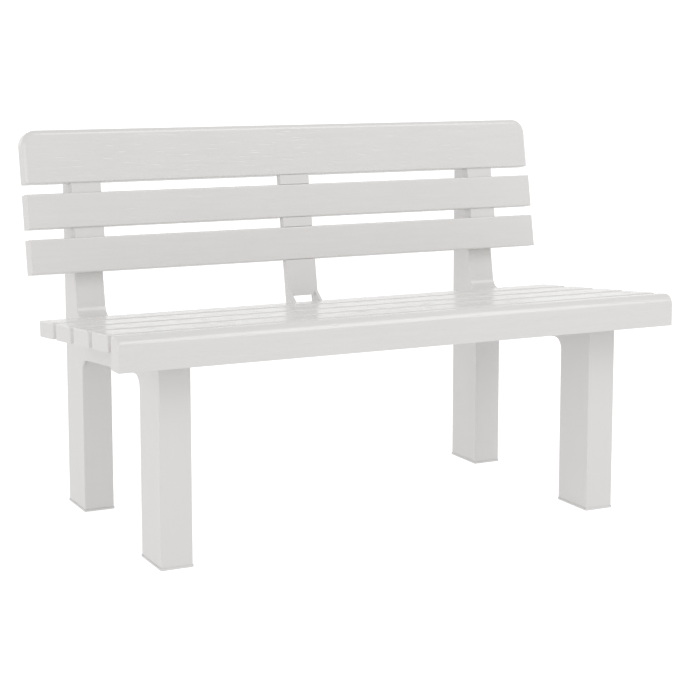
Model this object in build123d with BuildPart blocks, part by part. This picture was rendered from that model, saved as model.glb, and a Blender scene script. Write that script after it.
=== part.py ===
from build123d import *
import os
from math import cos, radians, sin, tan

# A garden bench of hollow moulded boards on two arched leg frames, in millimetres.
# The origin is on the floor under the middle of the bench. +X runs to the right end as seen from the front,
# +Y to the back and +Z up.

os.makedirs("parts", exist_ok=True)

# Seat, with the sizes across its slats taken along the slope
overall_length = 1100.0
seat_height = 418.5
seat_slope = 4.74
slat_count = 4
slat_width = 81.3
slat_gap = 22.0
slat_thickness = 29.5
slat_wall = 4.0
slat_edge = 3.0
seat_screw_inset = 20.0

# Front board, with its rounded nose
board_depth = 38.0
board_height = 60.3
board_gap = 19.0
board_wall = 4.0
board_nose = 20.0
board_screw_inset = 22.0
board_end_edge = 3.5
board_back_edge = 4.5

# Back, with the heights of its slats taken along the lean
back_lean = 10.26
back_setback = 39.9
back_rise = 79.6
back_slat_height = 65.5
top_slat_height = 100.9
back_gap = 19.5
back_slat_depth = 30.0
back_wall = 4.0
back_edge = 3.0
top_edge = 10.0
top_corner = 28.0

# Leg frames
frame_span = 920.0
leg_width = 57.5
front_leg_depth = 96.5
rear_leg_depth = 98.0
front_leg_inset = 3.2
frame_wall = 4.5
end_rail_height = 53.5
arch_radius = 22.0
leg_edge = 1.5
tongue_height = 18.0

# Foot pads
foot_thickness = 4.0
foot_lip = 1.5
foot_edge = 1.2
foot_plug_height = 16.0
foot_plug_wall = 3.0

# Uprights and their rear covers
upright_tip = 15.7
upright_drop = 30.0
upright_wall = 4.0
upright_edge = 2.5
upright_foot_radius = 24.0
ledge_drop = 4.0
upright_screw_pitch = 46.0
cover_thickness = 4.0

# Battens behind the back slats
batten_wall = 3.5
batten_margin = 6.0

# Centre strut and the rail that carries it
strut_width = 63.0
strut_cheek = 6.0
strut_plate = 4.0
strut_front = 0.9
strut_depth = 15.3
window_rise = 8.0
flare_height = 13.5
flare_start = 8.0
strut_heel = 3.0
centre_rail_height = 32.0
centre_rail_wall = 4.0
tail_inset = 3.0

# Screws, their posts and collars, and the cross bolt
screw_radius = 2.3
screw_head_radius = 5.0
screw_head_height = 2.2
seat_screw_length = 22.0
back_screw_length = 20.0
cover_screw_length = 8.0
recess_length = 5.6
recess_width = 1.2
recess_depth = 1.3
post_radius = 6.0
collar_radius = 10.0
bolt_radius = 4.0
bolt_head_radius = 7.5
bolt_head_height = 5.3
bolt_end = 2.0
nut_height = 6.5
bolt_tube_radius = 8.0

# Ribs and clearances
rib_thickness = 3.0
rib_pitch = 92.0
fit_gap = 0.4
joint_gap = 0.8
hole_gap = 0.3
thread_gap = 0.05
post_gap = 0.2

# Directions of the seat and the back
slope = radians(seat_slope)
lean = radians(back_lean)

# Rises of the back slats above the foot of the back
back_slats = (
    ("lower", 0.0, back_slat_height),
    ("middle", back_slat_height + back_gap, back_slat_height),
    ("top", 2 * (back_slat_height + back_gap), top_slat_height),
)
back_height = back_slats[-1][1] + top_slat_height
upright_rise = back_height - upright_drop
slat_middles = [rise + height / 2 for name, rise, height in back_slats]
gap_middles = [rise - back_gap / 2 for name, rise, height in back_slats[1:]]
batten_low = back_wall + fit_gap
batten_high = slat_middles[-1] + collar_radius + batten_margin

# Depth of the bench, from the front board's face to the lip of the rear feet
first_slat = board_depth + board_gap
slat_pitch = slat_width + slat_gap
seat_depth = first_slat + slat_count * slat_width + (slat_count - 1) * slat_gap
seat_run = seat_depth * cos(slope)
upright_run = upright_rise * sin(lean) + back_slat_depth / cos(lean) + upright_tip
overall_depth = seat_run + back_setback + upright_run + foot_lip

# Places from front to back
front_y = -overall_depth / 2
rear_y = overall_depth / 2 - foot_lip
slat_end_y = front_y + seat_run
back_y = slat_end_y + back_setback
board_back_y = front_y + board_depth
tongue_tip_y = front_y + board_wall + fit_gap
front_leg_y = front_y + first_slat * cos(slope) + front_leg_inset
front_leg_back_y = front_leg_y + front_leg_depth
rear_leg_y = rear_y - rear_leg_depth
foot_front_y = slat_end_y + joint_gap

# Heights
slat_end_z = seat_height - seat_depth * sin(slope)
back_z = slat_end_z + back_rise
board_bottom_z = seat_height - board_height
upright_top_z = back_z + upright_rise * cos(lean)
window_z = slat_end_z + window_rise
flare_z = window_z - flare_height
flare_top_z = window_z + flare_start

# Places from side to side
frame_x = (frame_span - leg_width) / 2
batten_spread = leg_width - batten_wall - 2 * collar_radius
strut_inside = strut_width - 2 * strut_cheek
strut_spread = strut_inside + strut_cheek / 2 - 2 * collar_radius
strut_back = strut_front + strut_depth
collar_height = strut_back - back_wall
centre_rail_width = strut_inside - 2 * fit_gap
sides = (("left", -frame_x), ("right", frame_x))
rail_widths = {-frame_x: leg_width, 0.0: centre_rail_width, frame_x: leg_width}
rail_walls = {-frame_x: frame_wall, 0.0: centre_rail_wall, frame_x: frame_wall}

LOW = (Align.CENTER, Align.CENTER, Align.MIN)
HIGH = (Align.CENTER, Align.CENTER, Align.MAX)

# The seat's plane has its Y axis down the slope to the back; the back's plane has its Y axis up the lean.
seat_plane = Plane((0, front_y, seat_height), x_dir=(1, 0, 0), z_dir=(0, sin(slope), cos(slope)))
back_plane = Plane((0, back_y, back_z), x_dir=(1, 0, 0), z_dir=(0, -cos(lean), sin(lean)))
seat_axis = Axis((0, 0, 0), seat_plane.z_dir)
back_axis = Axis((0, 0, 0), back_plane.z_dir)


def below_seat(y, depth):
    """Height at y of the plane that lies depth under the seat's top."""
    return seat_height - (y - front_y) * tan(slope) - depth / cos(slope)


def behind_back(z, depth):
    """Y at height z of the plane that lies depth behind the back's front."""
    return back_y + (z - back_z) * tan(lean) + depth / cos(lean)


def back_point(rise, depth):
    """Y and Z of the point rise up the back and depth behind its front."""
    return (back_y + rise * sin(lean) + depth * cos(lean), back_z + rise * cos(lean) - depth * sin(lean))


def lean_foot(seat_depth_below, depth_behind):
    """Y and Z where a plane under the seat's top meets a plane behind the back's front."""
    base = back_y - back_z * tan(lean) + depth_behind / cos(lean) - front_y
    z = (seat_height - base * tan(slope) - seat_depth_below / cos(slope)) / (1 + tan(lean) * tan(slope))
    return (behind_back(z, depth_behind), z)


def on_seat(x, y, depth):
    """Place on the seat's plane, depth under its top, with Z square to the seat and up."""
    return seat_plane.location * Location((x, y, -depth))


def on_back(x, rise, depth):
    """Place on the back's plane, depth behind its front, with Z square to the back and forward."""
    return back_plane.location * Location((x, rise, -depth))


def from_behind(x, y, z):
    """Place with its Z axis straight forward."""
    return Location((x, y, z), (90, 0, 0))


def spaced(length):
    """Rib places about the middle of a length, one rib pitch apart."""
    count = int(length // rib_pitch)
    return [(index - (count - 1) / 2) * rib_pitch for index in range(count)]


def drill(places, radius, depth):
    """Round holes about the given places, depth to each side of them."""
    with Locations(*places):
        Cylinder(radius, 2 * depth, mode=Mode.SUBTRACT)


def slat_screw_rows(number):
    """Distances of a seat slat's two screw rows from the front, along the slope."""
    start = first_slat + number * slat_pitch
    return (start + seat_screw_inset, start + slat_width - seat_screw_inset)


def rail_screw_places(x, depth):
    """Places of the screws that hold the seat slats on one rail, depth under the seat's top."""
    rows = [row for number in range(slat_count) for row in slat_screw_rows(number)]
    return [on_seat(x, row, depth) for row in rows]


def board_screw_places(x, depth):
    """Places of the two screws that hold the front board on one rail's tongue."""
    spread = rail_widths[x] - 2 * rail_walls[x] - 2 * post_radius
    return [on_seat(x + side * spread / 2, board_screw_inset, depth) for side in (-1, 1)]


def upright_screw_places(x, depth):
    """Places of the two screws between a rear leg and the foot of its upright."""
    middle = (rear_y - rear_leg_depth / 2 - front_y) / cos(slope)
    return [on_seat(x, middle + side * upright_screw_pitch / 2, depth) for side in (-1, 1)]


def back_screw_places(middle, rise, spread, depth):
    """Places of the pair of screws that hold one back slat at one support."""
    return [on_back(middle + side * spread / 2, rise, depth) for side in (-1, 1)]


def end_screw_places(x, depth):
    """Places of all screws between one upright and the back slats."""
    return [place for rise in slat_middles for place in back_screw_places(x, rise, batten_spread, depth)]


def strut_screw_places(depth):
    """Places of all screws between the centre strut and the back slats."""
    return [place for rise in slat_middles for place in back_screw_places(0.0, rise, strut_spread, depth)]


# Leg frames, each a front leg, a rear leg and the arched rail, hollow and open below
rail_ribs = [first_slat + number * slat_pitch - slat_gap / 2 for number in range(1, slat_count)]
leg_pockets = (
    (tongue_tip_y + frame_wall, front_leg_y),
    (front_leg_y + frame_wall, front_leg_back_y - frame_wall),
    (front_leg_back_y, rear_leg_y),
    (rear_leg_y + frame_wall, rear_y - frame_wall),
)
rail_ceiling = slat_thickness + frame_wall
arch_depth = slat_thickness + end_rail_height
tongue_floor = slat_thickness + tongue_height
for side, x in sides:
    with BuildPart() as leg_frame:
        with BuildSketch(Plane.YZ.offset(x)):
            with BuildLine():
                Polyline(
                    (front_leg_y, foot_thickness),
                    (front_leg_y, below_seat(front_leg_y, tongue_floor)),
                    (tongue_tip_y, below_seat(tongue_tip_y, tongue_floor)),
                    (tongue_tip_y, below_seat(tongue_tip_y, slat_thickness)),
                    (rear_y, below_seat(rear_y, slat_thickness)),
                    (rear_y, foot_thickness),
                    close=True,
                )
            make_face()
        extrude(amount=leg_width / 2, both=True)
        with BuildSketch(Plane.YZ.offset(x)):
            with BuildLine():
                arch = FilletPolyline(
                    (front_leg_back_y, 0),
                    (front_leg_back_y, below_seat(front_leg_back_y, arch_depth)),
                    (rear_leg_y, below_seat(rear_leg_y, arch_depth)),
                    (rear_leg_y, 0),
                    radius=arch_radius,
                )
                Line(arch @ 1, arch @ 0)
            make_face()
        extrude(amount=leg_width / 2, both=True, mode=Mode.SUBTRACT)
        rail_top_z = below_seat(rear_y, slat_thickness)
        outline = leg_frame.faces().filter_by(Axis.X).edges()
        rounded = [
            edge for edge in outline
            if edge.center().Y > front_leg_y - leg_edge
            and foot_thickness + leg_edge < edge.center().Z < rail_top_z - leg_edge
        ]
        fillet(rounded, radius=leg_edge)
        with BuildSketch(Plane.YZ.offset(x)):
            for start, end in leg_pockets:
                with BuildLine():
                    Polyline(
                        (start, 0),
                        (start, below_seat(start, rail_ceiling)),
                        (end, below_seat(end, rail_ceiling)),
                        (end, 0),
                        close=True,
                    )
                make_face()
        extrude(amount=leg_width / 2 - frame_wall, both=True, mode=Mode.SUBTRACT)
        with Locations(*[on_seat(x, row, slat_thickness + frame_wall / 2) for row in rail_ribs]):
            Box(leg_width - frame_wall, rib_thickness, end_rail_height - frame_wall, align=HIGH)
        screw_places = (
            rail_screw_places(x, slat_thickness)
            + board_screw_places(x, slat_thickness)
            + upright_screw_places(x, slat_thickness)
        )
        drill(screw_places, screw_radius + hole_gap, 2 * frame_wall)
    leg_frame.part.label = f"leg_frame_{side}"
    export_step(leg_frame.part, f"parts/leg_frame_{side}.step")

# Foot pads, plugged into the open ends of the legs
legs = (("front", front_leg_y, front_leg_depth), ("rear", rear_leg_y, rear_leg_depth))
for side, x in sides:
    for end, leg_y, leg_depth in legs:
        plug_width = leg_width - 2 * (frame_wall + fit_gap)
        plug_depth = leg_depth - 2 * (frame_wall + fit_gap)
        middle = (x, leg_y + leg_depth / 2)
        with BuildPart() as foot:
            with BuildSketch(Plane.XY):
                with Locations(middle):
                    RectangleRounded(leg_width + 2 * foot_lip, leg_depth + 2 * foot_lip, leg_edge + foot_lip)
            extrude(amount=foot_thickness)
            fillet(foot.edges().group_by(Axis.Z)[0], radius=foot_edge)
            with BuildSketch(Plane.XY.offset(foot_thickness)):
                with Locations(middle):
                    Rectangle(plug_width, plug_depth)
                    Rectangle(
                        plug_width - 2 * foot_plug_wall,
                        plug_depth - 2 * foot_plug_wall,
                        mode=Mode.SUBTRACT,
                    )
            extrude(amount=foot_plug_height)
        foot.part.label = f"foot_{end}_{side}"
        export_step(foot.part, f"parts/foot_{end}_{side}.step")

# Seat slats, each an upturned trough with cross ribs and screw posts
rail_places = (-frame_x, 0.0, frame_x)
for number in range(slat_count):
    middle = first_slat + number * slat_pitch + slat_width / 2
    post_places = [(x, row) for x in rail_places for row in slat_screw_rows(number)]
    with BuildPart() as seat_slat:
        with Locations(on_seat(0, middle, slat_thickness)):
            Box(overall_length, slat_width, slat_thickness, align=LOW)
        bottom, corners, top = seat_slat.edges().group_by(seat_axis)
        fillet(corners + top, radius=slat_edge)
        with Locations(on_seat(0, middle, slat_thickness)):
            Box(
                overall_length - 2 * slat_wall,
                slat_width - 2 * slat_wall,
                slat_thickness - slat_wall,
                align=LOW,
                mode=Mode.SUBTRACT,
            )
        with Locations(*[on_seat(x, middle, slat_thickness) for x in spaced(overall_length)]):
            Box(rib_thickness, slat_width - slat_wall, slat_thickness - slat_wall / 2, align=LOW)
        posts = [on_seat(x, row, slat_thickness) for x, row in post_places]
        with Locations(*posts):
            Cylinder(post_radius, slat_thickness - slat_wall / 2, align=LOW)
        drill(posts, screw_radius + thread_gap, seat_screw_length)
    seat_slat.part.label = f"seat_slat_{number + 1}"
    export_step(seat_slat.part, f"parts/seat_slat_{number + 1}.step")

# Front board, an upturned trough that takes the tongues of the rails through notches in its rear wall
nose_inside = board_nose - board_wall
with BuildPart() as front_board:
    with BuildSketch(Plane.YZ) as board_section:
        with BuildLine():
            Polyline(
                (front_y, board_bottom_z),
                (front_y, seat_height),
                (board_back_y, below_seat(board_back_y, 0)),
                (board_back_y, board_bottom_z),
                close=True,
            )
        make_face()
        fillet(board_section.vertices().sort_by(Axis.Y)[-1], radius=board_nose)
        fillet(board_section.vertices().group_by(Axis.X)[-1].sort_by(Axis.Y)[-1], radius=board_back_edge)
    extrude(amount=overall_length / 2, both=True)
    ends = front_board.faces().filter_by(Axis.X).edges()
    end_edges = [edge for edge in ends if edge.center().Z > board_bottom_z + board_end_edge]
    fillet(end_edges, radius=board_end_edge)
    with BuildSketch(Plane.YZ) as board_hollow:
        with BuildLine():
            Polyline(
                (front_y + board_wall, 0),
                (front_y + board_wall, below_seat(front_y + board_wall, board_wall)),
                (board_back_y - board_wall, below_seat(board_back_y - board_wall, board_wall)),
                (board_back_y - board_wall, 0),
                close=True,
            )
        make_face()
        fillet(board_hollow.vertices().sort_by(Axis.Y)[-1], radius=nose_inside)
    extrude(amount=overall_length / 2 - board_wall, both=True, mode=Mode.SUBTRACT)
    with BuildSketch(*[Plane.YZ.offset(x) for x in spaced(overall_length)]) as board_rib:
        rib_front_y = front_y + board_wall / 2
        rib_back_y = board_back_y - board_wall / 2
        rib_floor = slat_thickness - fit_gap
        with BuildLine():
            Polyline(
                (rib_front_y, below_seat(rib_front_y, rib_floor)),
                (rib_front_y, below_seat(rib_front_y, board_wall / 2)),
                (rib_back_y, below_seat(rib_back_y, board_wall / 2)),
                (rib_back_y, below_seat(rib_back_y, rib_floor)),
                close=True,
            )
        make_face()
        fillet(board_rib.vertices().sort_by(Axis.Y)[-1], radius=nose_inside)
    extrude(amount=rib_thickness / 2, both=True)
    for x in rail_places:
        with Locations(on_seat(x, board_depth, slat_thickness - fit_gap)):
            Box(rail_widths[x] + 2 * fit_gap, 4 * board_wall, board_height, align=HIGH, mode=Mode.SUBTRACT)
    posts = [place for x in rail_places for place in board_screw_places(x, slat_thickness)]
    with Locations(*posts):
        Cylinder(post_radius, slat_thickness - board_wall / 2, align=LOW)
    drill(posts, screw_radius + thread_gap, seat_screw_length)
front_board.part.label = "front_board"
export_step(front_board.part, "parts/front_board.step")

# Centre rail under the seat, with a tongue for the front board and a tail for the strut
tail_y = behind_back(flare_z, strut_back) + strut_heel - tail_inset
rail_floor = slat_thickness + centre_rail_height
bolt_y = (foot_front_y + tail_y) / 2
bolt_z = below_seat(bolt_y, slat_thickness + centre_rail_height / 2)
with BuildPart() as centre_rail:
    with BuildSketch(Plane.YZ):
        with BuildLine():
            Polyline(
                (front_leg_y, below_seat(front_leg_y, rail_floor)),
                (front_leg_y, below_seat(front_leg_y, tongue_floor)),
                (tongue_tip_y, below_seat(tongue_tip_y, tongue_floor)),
                (tongue_tip_y, below_seat(tongue_tip_y, slat_thickness)),
                (tail_y, below_seat(tail_y, slat_thickness)),
                (tail_y, below_seat(tail_y, rail_floor)),
                close=True,
            )
        make_face()
    extrude(amount=centre_rail_width / 2, both=True)
    hollow_depth = slat_thickness + centre_rail_wall
    pockets = (
        (tongue_tip_y + centre_rail_wall, front_leg_y),
        (front_leg_y + centre_rail_wall, tail_y - centre_rail_wall),
    )
    with BuildSketch(Plane.YZ):
        for start, end in pockets:
            with BuildLine():
                Polyline(
                    (start, 0),
                    (start, below_seat(start, hollow_depth)),
                    (end, below_seat(end, hollow_depth)),
                    (end, 0),
                    close=True,
                )
            make_face()
    extrude(amount=centre_rail_width / 2 - centre_rail_wall, both=True, mode=Mode.SUBTRACT)
    with Locations(*[on_seat(0, row, slat_thickness + centre_rail_wall / 2) for row in rail_ribs]):
        Box(
            centre_rail_width - centre_rail_wall,
            rib_thickness,
            centre_rail_height - centre_rail_wall,
            align=HIGH,
        )
    with BuildSketch(Plane.YZ):
        with Locations((bolt_y, bolt_z)):
            Circle(bolt_tube_radius)
    extrude(amount=centre_rail_width / 2, both=True)
    with BuildSketch(Plane.YZ):
        with Locations((bolt_y, bolt_z)):
            Circle(bolt_radius + hole_gap)
    extrude(amount=centre_rail_width, both=True, mode=Mode.SUBTRACT)
    drill(
        rail_screw_places(0.0, slat_thickness) + board_screw_places(0.0, slat_thickness),
        screw_radius + hole_gap,
        2 * centre_rail_wall,
    )
centre_rail.part.label = "centre_rail"
export_step(centre_rail.part, "parts/centre_rail.step")

# Centre strut, a trough open to the back whose cheeks flare forward below the window and straddle the rail
cheek_back_y = tail_y + tail_inset
cheek_bottom_z = below_seat(foot_front_y, rail_floor)
strut_top = batten_high
plate_back = back_wall + strut_plate
with BuildPart() as centre_strut:
    with BuildSketch(Plane.YZ):
        with BuildLine():
            Polyline(
                back_point(strut_top, strut_front),
                (behind_back(flare_top_z, strut_front), flare_top_z),
                (foot_front_y, flare_z),
                (foot_front_y, cheek_bottom_z),
                (cheek_back_y, cheek_bottom_z),
                (cheek_back_y, flare_z),
                back_point(strut_top, strut_back),
                close=True,
            )
        make_face()
    extrude(amount=strut_width / 2, both=True)
    with BuildSketch(Plane.YZ):
        with BuildLine():
            Polyline(
                back_point(strut_top + strut_depth, plate_back),
                (behind_back(window_z, plate_back), window_z),
                (front_leg_back_y, window_z),
                (front_leg_back_y, 0),
                (rear_y, 0),
                back_point(strut_top + strut_depth, 2 * strut_back),
                close=True,
            )
        make_face()
        with BuildLine():
            Polyline(
                (behind_back(flare_top_z, strut_front), flare_top_z),
                (behind_back(window_z, strut_front), window_z),
                (foot_front_y, window_z),
                (foot_front_y, flare_top_z),
                close=True,
            )
        make_face()
    extrude(amount=strut_inside / 2, both=True, mode=Mode.SUBTRACT)
    for name, rise, height in back_slats:
        with Locations(on_back(0, rise + height / 2, 0)):
            Box(2 * strut_width, height + 2 * fit_gap, back_wall, align=HIGH, mode=Mode.SUBTRACT)
    with Locations(*[on_back(0, rise, plate_back - strut_plate / 2) for rise in gap_middles]):
        Box(strut_width - strut_cheek, rib_thickness, strut_back - plate_back + strut_plate / 2, align=HIGH)
    collars = strut_screw_places(back_wall)
    with Locations(*collars):
        Cylinder(collar_radius, collar_height, align=HIGH)
    drill(collars, post_radius + fit_gap / 2, collar_height + joint_gap)
    with BuildSketch(Plane.YZ):
        with Locations((bolt_y, bolt_z)):
            Circle(bolt_radius + hole_gap)
    extrude(amount=strut_width, both=True, mode=Mode.SUBTRACT)
centre_strut.part.label = "centre_strut"
export_step(centre_strut.part, "parts/centre_strut.step")

# Uprights, hollow wedges on a foot as thick as the seat slats, open at the back
rib_heights = [(slat_end_z + back_z) / 2] + [back_point(rise, back_slat_depth)[1] for rise in gap_middles]
cover_screw_heights = (rib_heights[0], rib_heights[-1])
wall_middle = back_slat_depth + upright_wall / 2
wall_back = back_slat_depth + upright_wall
cover_face_y = rear_y - cover_thickness
for side, x in sides:
    with BuildPart() as upright:
        with BuildSketch(Plane.YZ.offset(x)):
            heel = lean_foot(ledge_drop, back_slat_depth)
            with BuildLine():
                FilletPolyline(
                    (foot_front_y, below_seat(foot_front_y, ledge_drop)),
                    heel,
                    (behind_back(upright_top_z, back_slat_depth), upright_top_z),
                    radius=upright_foot_radius,
                )
                Polyline(
                    (behind_back(upright_top_z, back_slat_depth), upright_top_z),
                    (rear_y, upright_top_z),
                    (rear_y, below_seat(rear_y, slat_thickness)),
                    (foot_front_y, below_seat(foot_front_y, slat_thickness)),
                    (foot_front_y, below_seat(foot_front_y, ledge_drop)),
                )
            make_face()
        extrude(amount=leg_width / 2, both=True)
        outline = upright.faces().filter_by(Axis.X).edges()
        foot_middle_z = below_seat(rear_y, slat_thickness / 2)
        rounded = [
            edge for edge in outline
            if foot_front_y + joint_gap < edge.center().Y < rear_y - joint_gap
            and foot_middle_z < edge.center().Z < upright_top_z - joint_gap
        ]
        fillet(rounded, radius=upright_edge)
        with BuildSketch(Plane.YZ.offset(x)):
            inside_front = foot_front_y + upright_wall
            inside_back = rear_y + upright_wall
            inside_top = upright_top_z - upright_wall
            inside_floor = slat_thickness - upright_wall
            with BuildLine():
                Polyline(
                    (inside_front, below_seat(inside_front, inside_floor)),
                    (inside_front, below_seat(inside_front, ledge_drop + upright_wall)),
                    lean_foot(ledge_drop + upright_wall, wall_back),
                    (behind_back(inside_top, wall_back), inside_top),
                    (inside_back, inside_top),
                    (inside_back, below_seat(inside_back, inside_floor)),
                    close=True,
                )
            make_face()
        extrude(amount=leg_width / 2 - upright_wall, both=True, mode=Mode.SUBTRACT)
        for z in rib_heights:
            rib_front_y = behind_back(z, wall_middle)
            with Locations((x, (rib_front_y + cover_face_y) / 2, z)):
                Box(leg_width - upright_wall, cover_face_y - rib_front_y, rib_thickness)
        for z in cover_screw_heights:
            post_length = cover_face_y - behind_back(z, wall_middle)
            with Locations(from_behind(x, cover_face_y, z)):
                Cylinder(post_radius, post_length, align=LOW)
        foot_posts = upright_screw_places(x, slat_thickness - upright_wall / 2)
        with Locations(*foot_posts):
            Cylinder(post_radius, slat_thickness - ledge_drop - upright_wall, align=LOW)
        cover_pilots = [from_behind(x, cover_face_y, z) for z in cover_screw_heights]
        drill(cover_pilots, screw_radius + thread_gap, cover_screw_length)
        drill(upright_screw_places(x, slat_thickness), screw_radius + thread_gap, seat_screw_length)
        drill(end_screw_places(x, back_slat_depth), screw_radius + hole_gap, 2 * upright_wall)
    upright.part.label = f"upright_{side}"
    export_step(upright.part, f"parts/upright_{side}.step")

# Covers that close the uprights at the back
cover_low_z = below_seat(cover_face_y, slat_thickness - upright_wall) + fit_gap
cover_high_z = upright_top_z - upright_wall - fit_gap
cover_width = leg_width - 2 * (upright_wall + fit_gap)
for side, x in sides:
    with BuildPart() as upright_cover:
        with Locations((x, rear_y - cover_thickness / 2, (cover_low_z + cover_high_z) / 2)):
            Box(cover_width, cover_thickness, cover_high_z - cover_low_z)
        with Locations(*[Location((x, rear_y, z), (-90, 0, 0)) for z in cover_screw_heights]):
            CounterBoreHole(screw_radius + hole_gap, screw_head_radius + hole_gap, screw_head_height)
    upright_cover.part.label = f"upright_cover_{side}"
    export_step(upright_cover.part, f"parts/upright_cover_{side}.step")

# Battens, troughs open to the back that pass behind the front walls of the back slats
batten_front = back_wall + joint_gap
batten_depth = back_slat_depth - batten_front
batten_collar = back_slat_depth - back_wall
for side, x in sides:
    with BuildPart() as back_batten:
        with Locations(on_back(x, (batten_low + batten_high) / 2, batten_front)):
            Box(leg_width, batten_high - batten_low, batten_depth, align=HIGH)
        with Locations(on_back(x, (batten_low + batten_high) / 2, batten_front + batten_wall)):
            Box(
                leg_width - 2 * batten_wall,
                batten_high - batten_low - 2 * batten_wall,
                batten_depth,
                align=HIGH,
                mode=Mode.SUBTRACT,
            )
        collars = end_screw_places(x, back_wall)
        with Locations(*collars):
            Cylinder(collar_radius, batten_collar, align=HIGH)
        drill(collars, post_radius + fit_gap / 2, batten_collar + joint_gap)
    back_batten.part.label = f"back_batten_{side}"
    export_step(back_batten.part, f"parts/back_batten_{side}.step")

# Back slats, troughs open to the back, notched where the battens and the strut pass
end_post_height = batten_collar - post_gap + back_wall / 2
centre_post_height = collar_height - post_gap + back_wall / 2
for (name, rise, height), middle in zip(back_slats, slat_middles):
    with BuildPart() as back_slat:
        with Locations(on_back(0, middle, 0)):
            Box(overall_length, height, back_slat_depth, align=HIGH)
        if name == "top":
            square = back_slat.edges().filter_by(back_axis).sort_by(Axis.Z)[-2:]
            fillet(square, radius=top_corner)
        with BuildSketch(back_plane.offset(-back_wall)) as slat_hollow:
            with Locations((0, middle)):
                Rectangle(overall_length - 2 * back_wall, height - 2 * back_wall)
            if name == "top":
                fillet(slat_hollow.vertices().group_by(Axis.Y)[-1], radius=top_corner - back_wall)
        extrude(amount=-back_slat_depth, mode=Mode.SUBTRACT)
        if name == "top":
            hollow_front = back_slat.faces().filter_by(back_axis).sort_by(back_axis)[-2]
            fillet(hollow_front.edges().sort_by(Axis.Z)[1:], radius=top_edge - back_wall)
        with Locations(*[on_back(x, middle, back_wall / 2) for x in spaced(overall_length)]):
            Box(rib_thickness, height - back_wall, back_slat_depth - back_wall / 2, align=HIGH)
        front_edges = back_slat.faces().sort_by(back_axis)[-1].edges().sort_by(Axis.Z)
        if name == "top":
            fillet(front_edges[1:], radius=top_edge)
            front_edges = back_slat.faces().sort_by(back_axis)[-1].edges().sort_by(Axis.Z)[:1]
        fillet(front_edges, radius=back_edge)
        passage_middle = (batten_low + batten_high) / 2
        passage_height = batten_high - batten_low + 2 * fit_gap
        with Locations(*[on_back(x, passage_middle, batten_front - fit_gap) for side, x in sides]):
            Box(leg_width + 2 * fit_gap, passage_height, back_slat_depth, align=HIGH, mode=Mode.SUBTRACT)
        with Locations(on_back(0, strut_top + fit_gap, back_wall)):
            Box(
                strut_width + 2 * fit_gap,
                2 * strut_top,
                back_slat_depth,
                align=(Align.CENTER, Align.MAX, Align.MAX),
                mode=Mode.SUBTRACT,
            )
        end_posts = [
            place
            for side, x in sides
            for place in back_screw_places(x, middle, batten_spread, back_wall / 2)
        ]
        with Locations(*end_posts):
            Cylinder(post_radius, end_post_height, align=HIGH)
        centre_posts = back_screw_places(0.0, middle, strut_spread, back_wall / 2)
        with Locations(*centre_posts):
            Cylinder(post_radius, centre_post_height, align=HIGH)
        pilot_places = [
            place
            for side, x in sides
            for place in back_screw_places(x, middle, batten_spread, back_slat_depth)
        ]
        drill(pilot_places, screw_radius + thread_gap, back_screw_length)
        centre_pilots = back_screw_places(0.0, middle, strut_spread, back_wall + collar_height)
        drill(centre_pilots, screw_radius + thread_gap, collar_height - back_wall / 2)
    back_slat.part.label = f"back_slat_{name}"
    export_step(back_slat.part, f"parts/back_slat_{name}.step")

# Screws, each group one node; a place is under the head, with its Z axis the way the screw goes in
screw_groups = (
    ("seat_screws", seat_screw_length, [
        place
        for x in rail_places
        for place in rail_screw_places(x, slat_thickness + rail_walls[x])
    ]),
    ("front_board_screws", seat_screw_length, [
        place
        for x in rail_places
        for place in board_screw_places(x, slat_thickness + rail_walls[x])
    ]),
    ("upright_screws", seat_screw_length, [
        place
        for side, x in sides
        for place in upright_screw_places(x, slat_thickness + frame_wall)
    ]),
    ("back_end_screws", back_screw_length, [
        place
        for side, x in sides
        for place in end_screw_places(x, wall_back)
    ]),
    ("back_centre_screws", collar_height - back_wall, strut_screw_places(back_wall + collar_height)),
    ("cover_screws", cover_screw_length, [
        from_behind(x, rear_y - screw_head_height, z)
        for side, x in sides
        for z in cover_screw_heights
    ]),
)
for name, length, places in screw_groups:
    with BuildPart() as screws:
        with Locations(*places):
            Cylinder(screw_radius, length, align=LOW)
            Cylinder(screw_head_radius, screw_head_height, align=HIGH)
        with Locations(*[place * Location((0, 0, -screw_head_height)) for place in places]):
            Box(recess_length, recess_width, 2 * recess_depth, mode=Mode.SUBTRACT)
            Box(recess_width, recess_length, 2 * recess_depth, mode=Mode.SUBTRACT)
    screws.part.label = name
    export_step(screws.part, f"parts/{name}.step")

# Cross bolt through the strut's cheeks and the tail of the rail, and its nut
with BuildPart() as strut_bolt:
    with BuildSketch(Plane.YZ.offset(-strut_width / 2)):
        with Locations((bolt_y, bolt_z)):
            RegularPolygon(bolt_head_radius, 6)
    extrude(amount=-bolt_head_height)
    with BuildSketch(Plane.YZ.offset(-strut_width / 2)):
        with Locations((bolt_y, bolt_z)):
            Circle(bolt_radius)
    extrude(amount=strut_width + nut_height + bolt_end)
strut_bolt.part.label = "strut_bolt"
export_step(strut_bolt.part, "parts/strut_bolt.step")

with BuildPart() as strut_nut:
    with BuildSketch(Plane.YZ.offset(strut_width / 2)):
        with Locations((bolt_y, bolt_z)):
            RegularPolygon(bolt_head_radius, 6)
            Circle(bolt_radius + thread_gap, mode=Mode.SUBTRACT)
    extrude(amount=nut_height)
strut_nut.part.label = "strut_nut"
export_step(strut_nut.part, "parts/strut_nut.step")
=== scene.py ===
import logging
import math
from dataclasses import dataclass, field
from enum import Enum
from typing import ClassVar

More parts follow.
